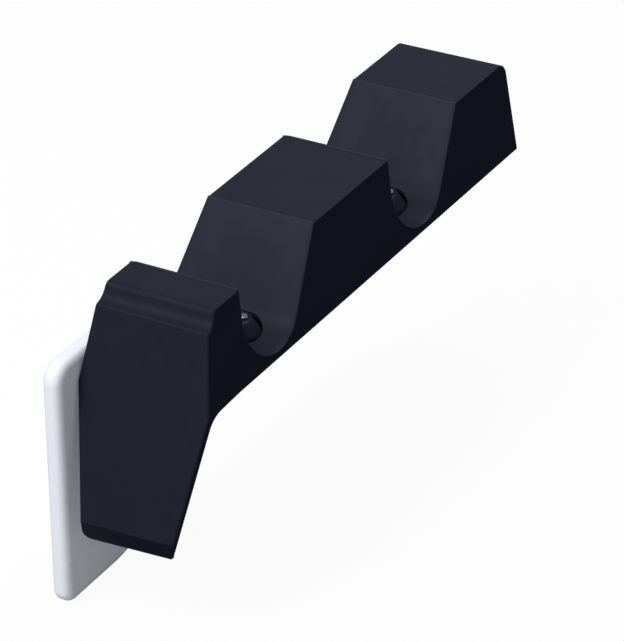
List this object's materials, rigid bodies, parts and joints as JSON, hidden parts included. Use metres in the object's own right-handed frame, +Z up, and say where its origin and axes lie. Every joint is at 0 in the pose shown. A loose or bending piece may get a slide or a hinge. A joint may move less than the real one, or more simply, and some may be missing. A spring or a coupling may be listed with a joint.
{
  "type": "controller charging dock",
  "caption": "Dark drafted dock bar with round-floored wells for game controllers, raised charging connectors, a leaning apron and a white side panel.",
  "frame": {"origin": "on the flat outer face of the white side panel, level with the middle of the dock's length", "axes": "+Z up, +Y along the dock from the near end with the apron to the far end with the power inlet, +X across the dock away from the white panel"},
  "size_m": [0.061, 0.2208, 0.11],
  "materials": {
    "dark_shell": "fine satin moulded plastic, blue-black",
    "dark_liner": "fine satin moulded plastic, blue-black, a shade smoother than the shell",
    "connector_plastic": "fine satin moulded plastic, dark",
    "contact_metal": "bright plated contact",
    "circuit_board": "green glass-fibre board with a solder mask",
    "can_metal": "drawn aluminium can",
    "ferrite": "dull grey ferrite block",
    "chip_plastic": "moulded chip package",
    "socket_plastic": "off-white socket plastic",
    "inlet_plastic": "black moulded plastic",
    "white_panel": "satin white moulded plastic",
    "screw_steel": "zinc-plated steel",
    "lead_sleeve": "black flexible sleeve"
  },
  "bodies": {
    "root": {"top_shell": "dark_shell", "near_well_liner": "dark_liner", "far_well_liner": "dark_liner", "near_connector_boss": "connector_plastic", "far_connector_boss": "connector_plastic", "near_contact_studs": "contact_metal", "far_contact_studs": "contact_metal", "near_contact_board": "circuit_board", "far_contact_board": "circuit_board", "bottom_cover": "dark_shell", "apron_back_cover": "dark_shell", "main_board": "circuit_board", "capacitors": "can_metal", "inductors": "ferrite", "charge_chips": "chip_plastic", "lead_sockets": "socket_plastic", "inlet_housing": "inlet_plastic", "inlet_pin": "contact_metal", "side_panel": "white_panel", "panel_back": "white_panel", "cover_screws": "screw_steel", "connector_screws": "screw_steel", "board_screws": "screw_steel", "panel_screws": "screw_steel", "near_contact_lead": "lead_sleeve", "far_contact_lead": "lead_sleeve", "inlet_lead": "lead_sleeve"}
  },
  "joints": []
}
